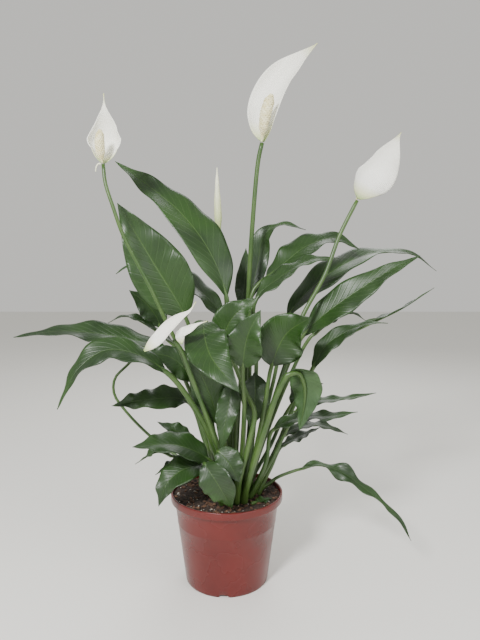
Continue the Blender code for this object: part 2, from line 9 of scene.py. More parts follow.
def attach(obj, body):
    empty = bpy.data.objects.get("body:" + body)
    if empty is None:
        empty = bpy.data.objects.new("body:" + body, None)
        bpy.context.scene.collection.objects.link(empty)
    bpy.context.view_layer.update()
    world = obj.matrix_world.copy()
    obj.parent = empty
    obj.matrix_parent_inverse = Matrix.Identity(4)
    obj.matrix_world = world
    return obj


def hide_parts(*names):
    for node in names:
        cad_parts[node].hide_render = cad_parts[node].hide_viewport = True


MM = 0.001

# ---------------------------------------------------------------- frame and stage
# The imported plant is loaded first. It stands on a plain pale floor.
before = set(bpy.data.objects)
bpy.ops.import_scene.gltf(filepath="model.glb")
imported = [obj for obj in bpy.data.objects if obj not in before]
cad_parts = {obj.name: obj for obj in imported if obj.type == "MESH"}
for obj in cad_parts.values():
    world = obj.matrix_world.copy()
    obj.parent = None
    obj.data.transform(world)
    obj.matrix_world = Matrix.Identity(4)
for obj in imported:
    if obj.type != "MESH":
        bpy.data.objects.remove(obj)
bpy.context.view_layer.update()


def material_with_nodes(name, roughness):
    material = bpy.data.materials.new(name)
    material.use_nodes = True
    shader = material.node_tree.nodes["Principled BSDF"]
    shader.inputs["Roughness"].default_value = roughness
    return material, material.node_tree, shader


def mesh_piece(name, body, materials, smooth=True):
    """Object from a finished bmesh in metres, placed by its vertices."""
    mesh = bpy.data.meshes.new(name)
    body.to_mesh(mesh)
    body.free()
    for polygon in mesh.polygons:
        polygon.use_smooth = smooth
    for material in materials:
        mesh.materials.append(material)
    obj = bpy.data.objects.new(name, mesh)
    bpy.context.scene.collection.objects.link(obj)
    return obj


def place(piece, slot, *nodes):
    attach(piece, "root")
    if nodes:
        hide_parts(*nodes)
    return piece


floor_body = bmesh.new()
bmesh.ops.create_grid(floor_body, x_segments=1, y_segments=1, size=4.0)
floor_material, _, floor_shader = material_with_nodes("pale_floor", 0.8)
floor_shader.inputs["Base Color"].default_value = (0.80, 0.79, 0.75, 1.0)
mesh_piece("floor", floor_body, [floor_material], smooth=False)


# ---------------------------------------------------------------- pot
# A round tapered nursery pot, injection moulded in brick-red plastic: a rolled rim, a faint
# step round the wall and drain slots cut at the foot. It stands on its flat underside.
POT_HEIGHT = 104.0
RIM_RADIUS = 65.0
BASE_RADIUS = 48.0
LIP_HEIGHT = 8.4
LIP_WALL = 2.4
WALL_UNDER_LIP = 60.4
WALL = 1.6
FLOOR = 2.0
RING_HEIGHT = 70.0
RING_STEP = 0.35
EDGE = 0.8
SLOT_COUNT = 3
SLOT_HALF_ANGLE = 0.115
SLOT_RISE = 2.6
SLOT_TURN = math.radians(-93.0)
SPIN_STEPS = 180


def outer_wall(z):
    return BASE_RADIUS + (WALL_UNDER_LIP - BASE_RADIUS) * z / (POT_HEIGHT - LIP_HEIGHT)


def noise_node(tree, coordinate, scale, detail=4.0, roughness=0.55):
    node = tree.nodes.new("ShaderNodeTexNoise")
    node.inputs["Scale"].default_value = scale
    node.inputs["Detail"].default_value = detail
    node.inputs["Roughness"].default_value = roughness
    tree.links.new(coordinate, node.inputs["Vector"])
    return node.outputs["Fac"]


def ramp(tree, source, stops):
    node = tree.nodes.new("ShaderNodeValToRGB")
    elements = node.color_ramp.elements
    while len(elements) < len(stops):
        elements.new(0.5)
    for element, (position, colour) in zip(elements, stops):
        element.position = position
        element.color = colour
    tree.links.new(source, node.inputs["Fac"])
    return node.outputs["Color"]


def bump(tree, source, strength, distance, shader, below=None):
    node = tree.nodes.new("ShaderNodeBump")
    node.inputs["Strength"].default_value = strength
    node.inputs["Distance"].default_value = distance
    tree.links.new(source, node.inputs["Height"])
    if below is not None:
        tree.links.new(below, node.inputs["Normal"])
    tree.links.new(node.outputs["Normal"], shader.inputs["Normal"])
    return node.outputs["Normal"]


def grey(value):
    return (value, value, value, 1.0)


pot_material, tree, shader = material_with_nodes("brick_red_plastic", 0.3)
coordinates = tree.nodes.new("ShaderNodeTexCoord").outputs["Object"]
mottle = noise_node(tree, coordinates, 22.0)
tree.links.new(ramp(tree, mottle, ((0.3, (0.088, 0.0075, 0.006, 1.0)),
                                   (0.7, (0.120, 0.0105, 0.008, 1.0)))),
               shader.inputs["Base Color"])
scuffs = noise_node(tree, coordinates, 35.0, 2.0, 0.5)
tree.links.new(ramp(tree, scuffs, ((0.35, grey(0.22)), (0.65, grey(0.32)))),
               shader.inputs["Roughness"])
grain = noise_node(tree, coordinates, 900.0, 2.0)
bump(tree, grain, 0.03, 0.0001, shader)

profile = (
    (0.0, FLOOR), (outer_wall(FLOOR) - WALL - EDGE, FLOOR),
    (outer_wall(FLOOR + EDGE) - WALL, FLOOR + EDGE),
    (WALL_UNDER_LIP - WALL, POT_HEIGHT - LIP_HEIGHT - EDGE),
    (RIM_RADIUS - LIP_WALL, POT_HEIGHT - LIP_HEIGHT + WALL),
    (RIM_RADIUS - LIP_WALL, POT_HEIGHT - 1.0),
    (RIM_RADIUS - LIP_WALL + 0.12, POT_HEIGHT - 0.5),
    (RIM_RADIUS - LIP_WALL + 0.4, POT_HEIGHT - 0.15),
    (RIM_RADIUS - LIP_WALL + EDGE, POT_HEIGHT), (RIM_RADIUS - EDGE, POT_HEIGHT),
    (RIM_RADIUS - 0.4, POT_HEIGHT - 0.12), (RIM_RADIUS - 0.1, POT_HEIGHT - 0.4),
    (RIM_RADIUS, POT_HEIGHT - EDGE), (RIM_RADIUS, POT_HEIGHT - LIP_HEIGHT + 0.8),
    (RIM_RADIUS - 0.15, POT_HEIGHT - LIP_HEIGHT + 0.3),
    (RIM_RADIUS - 0.7, POT_HEIGHT - LIP_HEIGHT),
    (WALL_UNDER_LIP + 0.6, POT_HEIGHT - LIP_HEIGHT - 0.1),
    (outer_wall(94.0), 94.0), (outer_wall(84.0), 84.0),
    (outer_wall(RING_HEIGHT + 2.0) + 0.1, RING_HEIGHT + 2.4),
    (outer_wall(RING_HEIGHT) + RING_STEP, RING_HEIGHT + 1.6),
    (outer_wall(RING_HEIGHT) + RING_STEP, RING_HEIGHT + 0.2),
    (outer_wall(RING_HEIGHT), RING_HEIGHT - 0.4),
    (outer_wall(50.0), 50.0), (outer_wall(30.0), 30.0), (outer_wall(12.0), 12.0),
    (outer_wall(4.0), 4.0), (outer_wall(EDGE), EDGE),
    (BASE_RADIUS - 0.3, 0.2), (BASE_RADIUS - EDGE, 0.0), (BASE_RADIUS - 7.0, 0.0),
    (0.0, 0.0),
)
pot_body = bmesh.new()
points = [pot_body.verts.new((r * MM, 0.0, z * MM)) for r, z in profile]
strip = points + [pot_body.edges.new(pair) for pair in zip(points, points[1:])]
bmesh.ops.spin(pot_body, geom=strip, cent=(0, 0, 0), axis=(0, 0, 1),
               angle=2 * math.pi, steps=SPIN_STEPS, use_merge=True, use_duplicate=False)
bmesh.ops.remove_doubles(pot_body, verts=pot_body.verts, dist=1e-6)
for vertex in pot_body.verts:
    radius = math.hypot(vertex.co.x, vertex.co.y)
    angle = math.atan2(vertex.co.y, vertex.co.x)
    turns = (angle - SLOT_TURN) * SLOT_COUNT / (2 * math.pi)
    off_slot = abs(turns - round(turns)) * 2 * math.pi / SLOT_COUNT
    if off_slot < SLOT_HALF_ANGLE and radius > (BASE_RADIUS - 2) * MM and vertex.co.z < 1 * MM:
        vertex.co.z += SLOT_RISE * MM
bmesh.ops.recalc_face_normals(pot_body, faces=pot_body.faces)
place(mesh_piece("pot_body", pot_body, [pot_material]), "pot_plastic", "pot")


# ---------------------------------------------------------------- soil
# Dark peat fills the pot to just below the rim: a crumbly surface with bark chips pressed in
# and pale grains of perlite, most of them near the wall. A cone of the same peat fills the pot
# underneath, and the imported soil is hidden.
SOIL_TOP = 99.0
SOIL_RADIUS = 62.2
SOIL_CELLS = 150
soil_material, tree, shader = material_with_nodes("dark_peat", 0.95)
coordinates = tree.nodes.new("ShaderNodeTexCoord").outputs["Object"]
clods = noise_node(tree, coordinates, 260.0, 8.0, 0.7)
tree.links.new(ramp(tree, clods, ((0.3, (0.006, 0.004, 0.003, 1.0)),
                                  (0.5, (0.026, 0.015, 0.010, 1.0)),
                                  (0.72, (0.085, 0.050, 0.030, 1.0)))),
               shader.inputs["Base Color"])
bump(tree, noise_node(tree, coordinates, 700.0, 6.0, 0.7), 0.8, 0.0008, shader)

soil_body = bmesh.new()
bmesh.ops.create_grid(soil_body, x_segments=SOIL_CELLS, y_segments=SOIL_CELLS, size=1.0)
for vertex in soil_body.verts:
    x = vertex.co.x * math.sqrt(1 - vertex.co.y ** 2 / 2) * SOIL_RADIUS
    y = vertex.co.y * math.sqrt(1 - vertex.co.x ** 2 / 2) * SOIL_RADIUS
    spot = Vector((x, y, 0.0))
    height = 0.9 + 1.2 * noise.noise(spot / 9.0) + 1.1 * noise.noise(spot / 3.0)
    height += 0.6 * noise.noise(spot / 1.3)
    edge = max(0.0, (math.hypot(x, y) - SOIL_RADIUS + 4.0) / 4.0)
    vertex.co = Vector((x, y, SOIL_TOP + max(0.1, height * (1 - 0.6 * edge)))) * MM
place(mesh_piece("soil_surface", soil_body, [soil_material]), "soil", "potting_soil")

plug_body = bmesh.new()
bmesh.ops.create_cone(plug_body, cap_ends=True, segments=96, radius1=45.5 * MM,
                      radius2=58.0 * MM, depth=88.0 * MM,
                      matrix=Matrix.Translation((0, 0, 47.0 * MM)))
place(mesh_piece("soil_plug", plug_body, [soil_material]), "soil", "potting_soil")

bark_material, tree, shader = material_with_nodes("bark_chips", 0.9)
coordinates = tree.nodes.new("ShaderNodeTexCoord").outputs["Object"]
tree.links.new(ramp(tree, noise_node(tree, coordinates, 320.0, 6.0, 0.6),
                    ((0.35, (0.030, 0.014, 0.008, 1.0)), (0.65, (0.150, 0.075, 0.040, 1.0)))),
               shader.inputs["Base Color"])
perlite_material, tree, shader = material_with_nodes("perlite", 0.85)
shader.inputs["Base Color"].default_value = (0.62, 0.58, 0.50, 1.0)


def scatter(name, count, material, low, high, ring, seed):
    """Irregular crumbs pressed into the soil, from radius ring outwards."""
    draw = random.Random(seed)
    body = bmesh.new()
    for _ in range(count):
        reach = SOIL_RADIUS * math.sqrt(draw.uniform(ring, 0.93))
        around = draw.uniform(0, 2 * math.pi)
        size = draw.uniform(low, high)
        spot = Vector((reach * math.cos(around), reach * math.sin(around),
                       SOIL_TOP + 0.9 + 0.2 * size))
        turn = Matrix.Rotation(draw.uniform(0, 6.28), 4, "Z")
        tip = Matrix.Rotation(draw.uniform(-0.5, 0.5), 4, "X")
        shape = Matrix.Diagonal((size, size * draw.uniform(0.4, 0.8),
                                 size * draw.uniform(0.25, 0.5), 1.0))
        made = bmesh.ops.create_icosphere(body, subdivisions=1, radius=1.0)["verts"]
        for vertex in made:
            vertex.co *= draw.uniform(0.75, 1.15)
            vertex.co = (turn @ tip @ shape @ vertex.co + spot) * MM
    return place(mesh_piece(name, body, [material], smooth=False), "soil", "potting_soil")


scatter("bark", 230, bark_material, 1.0, 4.0, 0.05, 4)
scatter("perlite_grains", 90, perlite_material, 0.5, 1.3, 0.35, 9)


# ---------------------------------------------------------------- leaves
# Each leaf grew as one piece: a smooth light-green stalk that runs on as the midrib of a
# thin waxy blade, with side veins curving towards a drawn-out point. It stands in the soil.
# Points are in millimetres: the stalk from the soil up, then along the blade's midrib.
LEAVES = (
    dict(name="leaf_tall_left", root=(7, 1), stalk=((6, 0, 164), (4, -12, 271)),
         blade=((1, -22, 331), (-19, -16, 382), (-50, -6, 423), (-89, 6, 456), (-127, 18, 484)),
         width=54, face=((0.35, -0.7, 0.6), (0.35, -0.7, 0.6))),
    dict(name="leaf_broad_left", root=(-1, -5), stalk=((-13, -3, 165), (-29, -3, 247)),
         blade=((-44, -22, 308), (-78, -38, 371), (-112, -44, 430)),
         width=64, face=((0.1, -1, 0.15), (0.1, -1, 0.15))),
    dict(name="leaf_behind_left", root=(2.7, 6.6), stalk=((-4, 22, 169), (-1, 32, 240)),
         blade=((-6, 35, 303), (-44, 30, 345), (-87, 20, 363), (-113, 10, 365), (-126, 5, 356)),
         width=40, face=((0.1, -0.6, 0.8), (0.1, -0.3, 0.9))),
    dict(name="leaf_looping_stalk", root=(-14, 8), radius=1.6,
         stalk=((-39, 25, 119), (-93, 40, 154), (-127, 46, 187), (-141, 50, 207),
                (-140, 52, 226), (-124, 56, 243), (-102, 62, 266)),
         blade=((-85, 62, 288), (-96, 55, 314), (-119, 45, 336)),
         width=34, face=((0, -0.9, 0.4), (0, -0.9, 0.4))),
    dict(name="leaf_slim_left", root=(-7.6, 15.6), stalk=((-27, 42, 151), (-44, 46, 225)),
         blade=((-65, 44, 269), (-96, 38, 295), (-122, 30, 306), (-141, 22, 298)),
         width=22, face=((0, -0.15, 1), (0, -0.15, 1))),
    dict(name="leaf_long_left", root=(-7, -2.5), stalk=((-24, 2, 163), (-46, 10, 226)),
         blade=((-67, 4, 266), (-114, -8, 284), (-180, -25, 294), (-227, -40, 289)),
         width=38, face=((0, -0.5, 0.87), (0, -0.5, 0.87))),
    dict(name="leaf_arched_left", root=(-1, -20), radius=2.8,
         stalk=((-13, -34, 165), (-38, -50, 223)),
         blade=((-61, -60, 255), (-90, -68, 275), (-120, -75, 280), (-146, -85, 262),
                (-166, -90, 223)),
         width=34, face=((0.2, -0.5, 0.9), (-0.6, -0.6, 0.4))),
    dict(name="leaf_mid_left", root=(-7.6, 9), stalk=((-28, 26, 156),),
         blade=((-47, 24, 203), (-90, 8, 210), (-131, -8, 206)),
         width=32, wave=2.0, face=((0.05, -0.75, 0.65), (0.05, -0.75, 0.65))),
    dict(name="leaf_low_left", root=(4.8, -23), stalk=((-4, -40, 134),),
         blade=((-18, -43.6, 155.4), (-53, -62, 178), (-93, -84, 183)),
         width=42, face=((-0.1, -0.5, 0.86), (-0.1, -0.5, 0.86))),
    dict(name="leaf_low_left_rear", root=(-4.3, 3.3), stalk=((-22, 10, 127),),
         blade=((-38, 13, 152), (-56, 13, 168), (-82, 12, 182)),
         width=24, face=((0.3, -0.6, 0.75), (0.3, -0.6, 0.75))),
    dict(name="leaf_low_left_slim", root=(-12, -16), radius=1.8,
         stalk=((-20, -20, 121), (-31, -23, 132), (-46, -26, 145)),
         blade=((-58, -28, 154), (-75, -34, 162), (-99, -42, 150)),
         width=18, face=((-0.2, 0.1, 1), (-0.2, 0.1, 1))),
    dict(name="leaf_drooping_left", root=(-6, -24), stalk=((-12, -30, 127),),
         blade=((-24, -36, 145), (-43, -48, 147), (-61, -58, 136), (-71, -62, 111)),
         width=36, face=((-0.1, -0.6, 0.8), (-0.5, -0.8, 0.3))),
    dict(name="leaf_drooping_left_rear", root=(-13, -5), radius=1.8, stalk=((-26, 4, 114),),
         blade=((-41, 2, 131), (-60, -9, 138), (-81, -18, 129)),
         width=18, face=((-0.1, -0.2, 1), (-0.1, -0.2, 1))),
    dict(name="leaf_over_soil", root=(-4, -31), stalk=((-10, -44, 126),),
         blade=((-22, -62.5, 158), (-9, -72.5, 142), (7, -58, 107)),
         width=38, face=((-0.3, -0.9, 0.2), (-0.3, -0.9, 0.2))),
    dict(name="leaf_over_soil_rear", root=(4, -30.8), stalk=((3.2, -45, 135),),
         blade=((-8, -54.5, 169), (4, -62, 158), (15, -60, 137)),
         width=32, face=((0, -0.9, 0.45), (0, -0.9, 0.45))),
    dict(name="leaf_front", root=(11, -29), radius=2.5,
         stalk=((16, -46, 138), (26, -52, 180), (31, -54, 211), (22, -46, 229), (7, -38, 264)),
         blade=((-21, -48, 306), (-14, -93, 278.4), (15, -125, 248)),
         width=46, face=((0, -0.6, 0.8), (-0.2, -0.8, 0.5))),
    dict(name="leaf_folded_centre", root=(13, -19.5), stalk=((19, -36, 175), (20, -56, 219)),
         blade=((18.5, -63, 260), (24, -76.5, 297), (36, -79, 321)),
         width=42, fold=math.radians(26.0), face=((-0.2, -0.95, 0.2), (-0.2, -0.95, 0.2))),
    dict(name="leaf_broad_centre", root=(20.3, -16), stalk=((35, -28, 172), (43, -46, 222)),
         blade=((49, -48, 259), (63, -58, 294), (86, -80, 314)),
         width=54, face=((0, -0.95, 0.3), (0, -0.95, 0.3))),
    dict(name="leaf_dark_centre", root=(5.5, -5.5), stalk=((2, -8, 166), (-5, -18, 238)),
         blade=((-4, -25, 279), (7, -32, 309), (33, -35, 331)),
         width=38, face=((0.1, -0.9, 0.4), (0.1, -0.9, 0.4))),
    dict(name="leaf_upright_rear", root=(8.8, 11.7), stalk=((12, 34, 153), (17, 50, 249)),
         blade=((19, 57, 311), (22, 62, 360), (23, 75, 388)),
         width=24, face=((0, -1, 0.2), (0, -0.6, 0.9))),
    dict(name="leaf_hooked_rear", root=(14.6, 8.8), stalk=((19, 26, 156), (24, 32, 252)),
         blade=((28, 37, 324), (37, 40, 370), (44, 38, 401), (65, 30, 414), (92, 22, 407)),
         width=26, face=((0.1, -1, 0.1), (-0.2, -0.4, 0.9))),
    dict(name="leaf_high_right", root=(12, -4),
         stalk=((25, 2, 163), (27, 8, 256), (30, 10, 335)),
         blade=((46, 14, 352), (69, 20, 370), (93, 25, 388), (127, 30, 398), (158, 35, 385)),
         width=40, face=((-0.2, -0.6, 0.8), (0.2, -0.5, 0.8))),
    dict(name="leaf_high_right_slim", root=(18.2, -4), stalk=((30, -6, 166), (34, -8, 259)),
         blade=((33, -10, 327), (60, -8, 352), (92, -5, 371), (127, 0, 374)),
         width=30, face=((-0.1, -0.4, 0.9), (-0.1, -0.4, 0.9))),
    dict(name="leaf_long_right", root=(20.8, 4.6), stalk=((38, 18, 158), (56, 28, 229)),
         blade=((73, 38, 303), (92, 44, 329), (115, 48, 349), (144, 52, 368), (181, 58, 381),
                (228, 62, 380), (260, 64, 359)),
         width=44, face=((-0.4, -0.7, 0.6), (0.1, -0.1, 1))),
    dict(name="leaf_broad_right", root=(24, -1.2), stalk=((42, 3, 163), (64, 5, 233)),
         blade=((87, 0, 285), (111, -8, 311), (150, -18, 341), (180, -25, 361),
                (209, -30, 376)),
         width=40, face=((-0.2, -0.75, 0.65), (-0.2, -0.75, 0.65))),
    dict(name="leaf_right_rear", root=(24, 12), stalk=((45, 32, 154), (74, 36, 227)),
         blade=((102, 34, 282), (129, 30, 303), (148, 25, 310), (164, 22, 301)),
         width=20, face=((0, -0.2, 1), (0, -0.2, 1))),
    dict(name="leaf_mid_right", root=(29.4, -6), radius=2.0,
         stalk=((55, -5, 148), (71, -10, 184), (85, -13, 211), (92, -16, 238)),
         blade=((96, -20, 252), (110, -26, 278), (133, -32, 295), (157, -36, 304),
                (174, -38, 304)),
         width=24, face=((-0.3, -0.8, 0.5), (0, -0.2, 1))),
    dict(name="leaf_long_right_slim", root=(30.2, 0.7),
         stalk=((58, 9, 151), (74, 12, 190), (93, 10, 232)),
         blade=((107, 5, 257), (132, 4, 283), (165, 0, 301), (198, -6, 318), (232, -10, 341)),
         width=20, face=((-0.3, 0.2, 0.9), (-0.3, 0.2, 0.9))),
    dict(name="leaf_turned_right", root=(19, -26), radius=3.0,
         stalk=((26, -44, 137), (33, -50, 163), (44, -58, 201), (54, -68, 234)),
         blade=((65, -75, 256), (75, -70, 258), (83, -61, 242), (84, -54, 220), (79, -50, 190)),
         width=36, face=((0.2, 0.6, 0.8), (0.6, 0.8, 0.2))),
    dict(name="leaf_low_right_upper", root=(36, -2), stalk=((55, 0, 140), (67, 0, 176)),
         blade=((78, 0, 196), (98, -2, 209), (133, -2, 213), (172, -2, 220)),
         width=16, face=((0, -0.3, 0.95), (0, -0.3, 0.95))),
    dict(name="leaf_low_right", root=(26.4, -13.3), stalk=((45, -16, 143),),
         blade=((52, -22, 182), (82, -26, 197), (115, -26, 199), (146, -26, 204)),
         width=24, face=((0, -0.3, 0.95), (0, -0.3, 0.95))),
    dict(name="leaf_low_right_rear", root=(27, 6.3), stalk=((50, 18, 126),),
         blade=((65, 22, 160), (87, 22, 173), (114, 22, 175), (145, 22, 164)),
         width=22, face=((0, -0.2, 1), (0, -0.2, 1))),
    dict(name="leaf_low_right_under", root=(30, 16), stalk=((50, 28, 115),),
         blade=((66, 34, 145), (84, 36, 155), (99, 37, 161), (114, 38, 168)),
         width=20, face=((0, -0.2, 1), (0, -0.2, 1))),
    dict(name="leaf_nodding_right", root=(16.3, -10), stalk=((27, -14, 162), (31, -14, 209)),
         blade=((32, -16, 244), (32, -28, 218), (27, -32, 186)),
         width=34, face=((0, -0.9, 0.4), (0, -0.9, 0.1))),
    dict(name="leaf_nodding_left", root=(9.7, -10.6), stalk=((10, -16, 169), (12, -20, 216)),
         blade=((9, -25.4, 237), (1, -41.6, 205), (-5, -48.8, 166)),
         width=26, face=((0, -0.9, 0.4), (0, -0.9, 0.1))),
    dict(name="leaf_trailing_right", root=(36, 9), radius=1.8,
         stalk=((49, 12, 106), (60, 15, 113)),
         blade=((84, 16, 122), (109, 14, 130), (139, 5, 121), (168, -8, 102), (196, -20, 79),
                (210, -25, 54)),
         width=17, wave=2.5, face=((0, -0.3, 1), (0.4, -0.6, 0.6))),
    dict(name="leaf_small_right", root=(24, 22), stalk=((53, 40, 144), (66, 46, 171)),
         blade=((79, 48, 193), (98, 48, 218), (118, 44, 221)),
         width=24, face=((-0.2, -0.7, 0.7), (-0.2, -0.7, 0.7))),
    dict(name="leaf_small_left", root=(-6.8, -9), stalk=((-21, -15, 180),),
         blade=((-36, -20, 236), (-59, -26, 264), (-89, -34, 272)),
         width=32, face=((-0.1, -0.8, 0.6), (-0.1, -0.8, 0.6))),
    dict(name="leaf_inner_left", root=(3.2, -11.3), stalk=((0, -16, 157),),
         blade=((-7, -20, 187), (-21, -26, 231), (-41, -34, 278)),
         width=40, face=((-0.1, -1, 0.2), (-0.1, -1, 0.2))),
)
STALK_RADIUS = 2.2

# A stray piece of leaf lies flat on the soil at the right of the pot.
FALLEN_LEAF = dict(name="fallen_leaf", radius=1.2,
                   stalk=((28, -33, 101.2), (30, -31.5, 101.2)),
                   blade=((33, -29, 101.3), (42, -23, 101.6), (52, -17, 101.2)),
                   width=15, face=((0, 0, 1), (0, 0, 1)))
LEAF_FOLD = math.radians(14.0)
LEAF_WAVE = 1.0


def passing_curve(points):
    """Smooth curve through the points; returns fine samples and the sample at each point."""
    knots = [Vector(p) for p in points]
    knots = [2 * knots[0] - knots[1]] + knots + [2 * knots[-1] - knots[-2]]
    fine = 24
    samples = []
    marks = [0]
    for a, b, c, d in zip(knots, knots[1:], knots[2:], knots[3:]):
        t1 = (b - a).length ** 0.5
        t2 = t1 + (c - b).length ** 0.5
        t3 = t2 + (d - c).length ** 0.5
        for step in range(fine):
            t = t1 + (t2 - t1) * step / fine
            a1 = a.lerp(b, t / t1)
            a2 = b.lerp(c, (t - t1) / (t2 - t1))
            a3 = c.lerp(d, (t - t2) / (t3 - t2))
            b1 = a1.lerp(a2, t / t2)
            b2 = a2.lerp(a3, (t - t1) / (t3 - t1))
            samples.append(b1.lerp(b2, (t - t1) / (t2 - t1)))
        marks.append(len(samples))
    samples.append(knots[-2])
    return samples, marks


def running_lengths(samples):
    lengths = [0.0]
    for a, b in zip(samples, samples[1:]):
        lengths.append(lengths[-1] + (b - a).length)
    return lengths


def point_at(samples, lengths, distance):
    distance = min(max(distance, 0.0), lengths[-1])
    for index in range(1, len(lengths)):
        if lengths[index] >= distance:
            span = lengths[index] - lengths[index - 1]
            return samples[index - 1].lerp(samples[index], (distance - lengths[index - 1]) / span)
    return samples[-1]


def frame_at(samples, lengths, distance, face):
    """Centre point, sideways and upward directions of a cross-section."""
    reach = 0.8
    ahead = point_at(samples, lengths, distance + reach)
    behind = point_at(samples, lengths, distance - reach)
    along = (ahead - behind).normalized()
    side = along.cross(face).normalized()
    return point_at(samples, lengths, distance), side, side.cross(along)


def round_ring(centre, side, up, radius, sides):
    return [centre + side * (radius * math.cos(2 * math.pi * i / sides))
            + up * (radius * math.sin(2 * math.pi * i / sides)) for i in range(sides)]


def blade_outline(t):
    """Half width of a leaf blade along its length, 0 to 1, with a drawn-out point."""
    return math.sin(math.pi * t ** 0.78) ** 0.95 * (1 - 0.3 * t ** 2) if 0 < t < 1 else 0.0


VEIN_PAIRS = 15.0
VEIN_LEAN = 0.20
VEIN_CURVE = 0.8
FINE_VEINS = 75.0


def leaf_material(name, dark, light, vein, roughness, coat):
    """Waxy blade: midrib and curved side veins follow the leaf's own across and along map."""
    material, tree, shader = material_with_nodes(name, roughness)
    shader.inputs["Coat Roughness"].default_value = 0.25
    shader.inputs["Coat Weight"].default_value = coat
    new = tree.nodes.new
    link = tree.links.new
    uv = new("ShaderNodeUVMap")
    uv.uv_map = "leaf_map"
    split = new("ShaderNodeSeparateXYZ")
    link(uv.outputs["UV"], split.inputs["Vector"])

    def math_node(kind, a, b=0.0):
        node = new("ShaderNodeMath")
        node.operation = kind
        for socket, value in zip(node.inputs, (a, b)):
            if isinstance(value, float):
                socket.default_value = value
            else:
                link(value, socket)
        return node.outputs[0]

    coordinates = new("ShaderNodeTexCoord").outputs["Object"]
    across = math_node("ABSOLUTE", split.outputs["X"])
    along = split.outputs["Y"]
    wander = math_node("MULTIPLY", noise_node(tree, coordinates, 25.0), 0.03)
    lean = math_node("MULTIPLY", math_node("POWER", across, VEIN_CURVE), VEIN_LEAN)
    phase = math_node("ADD", math_node("SUBTRACT", along, lean), wander)
    waves = math_node("SINE", math_node("MULTIPLY", phase, 2 * math.pi * VEIN_PAIRS))
    fine = math_node("SINE", math_node("MULTIPLY", phase, 2 * math.pi * FINE_VEINS))
    side_vein = math_node("POWER", math_node("MAXIMUM", waves, 0.0), 10.0)
    rib = math_node("MAXIMUM", math_node("SUBTRACT", 1.0, math_node("MULTIPLY", across, 26.0)),
                    0.0)
    blotch = noise_node(tree, coordinates, 18.0, 5.0)
    base = ramp(tree, blotch, ((0.3, dark), (0.7, light)))
    mix = new("ShaderNodeMixRGB")
    mask = math_node("MAXIMUM", math_node("MULTIPLY", side_vein, 0.10),
                     math_node("MULTIPLY", rib, 0.5))
    link(mask, mix.inputs["Fac"])
    link(base, mix.inputs["Color1"])
    mix.inputs["Color2"].default_value = vein
    link(mix.outputs["Color"], shader.inputs["Base Color"])
    height = math_node("ADD", math_node("MULTIPLY", side_vein, -0.6),
                       math_node("MULTIPLY", fine, 0.06))
    height = math_node("ADD", height, math_node("MULTIPLY", rib, -1.0))
    bump(tree, height, 0.5, 0.0006, shader)
    return material


upper_material = leaf_material("leaf_upper", (0.0042, 0.019, 0.0016, 1.0),
                               (0.017, 0.058, 0.004, 1.0), (0.07, 0.14, 0.024, 1.0), 0.42, 0.12)
under_material = leaf_material("leaf_under", (0.028, 0.070, 0.020, 1.0),
                               (0.045, 0.098, 0.026, 1.0), (0.10, 0.17, 0.055, 1.0), 0.5, 0.05)
# Partly own colour, partly painted shade: the stalk green is painted at about half of its own light
# green, standing in for the shadow the leaves cast on it. Leaf stalks, midribs and flower stalks all
# use this colour.
stalk_material_painted_shade, tree, shader = material_with_nodes("leaf_stalk_painted_shade", 0.38)
coordinates = tree.nodes.new("ShaderNodeTexCoord").outputs["Object"]
tree.links.new(ramp(tree, noise_node(tree, coordinates, 30.0),
                    ((0.3, (0.022, 0.060, 0.010, 1.0)), (0.7, (0.065, 0.120, 0.026, 1.0)))),
               shader.inputs["Base Color"])
bump(tree, noise_node(tree, coordinates, 500.0), 0.2, 0.0003, shader)

ALONG_CELLS = 72
ACROSS_CELLS = 14
SHEET_THICKNESS = 0.5
QUILT = 0.45
LEAF_STALK_SIDES = 14
LEAF_STALK_CELLS = 46
RIB_REACH = 0.93
STALK_RADIUS = 2.2


def sheet_piece(name, place_point, cells, materials, thickness):
    """Grid bent onto a surface. place_point takes across, -1 to 1, and along, 0 to 1."""
    body = bmesh.new()
    layer = body.loops.layers.uv.new("leaf_map")
    bmesh.ops.create_grid(body, x_segments=cells[0], y_segments=cells[1], size=1.0)
    for face in body.faces:
        for loop in face.loops:
            loop[layer].uv = (loop.vert.co.x, (loop.vert.co.y + 1) / 2)
    rows = {}
    for vertex in body.verts:
        rows.setdefault(round(vertex.co.y, 5), []).append(vertex)
    for row, members in rows.items():
        across_row = place_point((row + 1) / 2)
        for vertex in members:
            vertex.co = across_row(vertex.co.x) * MM
    piece = mesh_piece(name, body, materials)
    shell = piece.modifiers.new("thickness", "SOLIDIFY")
    shell.thickness = thickness * MM
    shell.offset = -1.0
    shell.material_offset = len(materials) - 1
    return piece


def tube_piece(name, rings, material):
    """Closed round body through rings of points in millimetres."""
    body = bmesh.new()
    loops = [[body.verts.new(p * MM) for p in ring] for ring in rings]
    edges = []
    for loop in loops:
        edges.append([body.edges.new((a, b)) for a, b in zip(loop, loop[1:] + loop[:1])])
    for lower, upper in zip(edges, edges[1:]):
        bmesh.ops.bridge_loops(body, edges=lower + upper)
    bmesh.ops.contextual_create(body, geom=edges[0])
    bmesh.ops.contextual_create(body, geom=edges[-1])
    bmesh.ops.recalc_face_normals(body, faces=body.faces)
    return mesh_piece(name, body, [material])


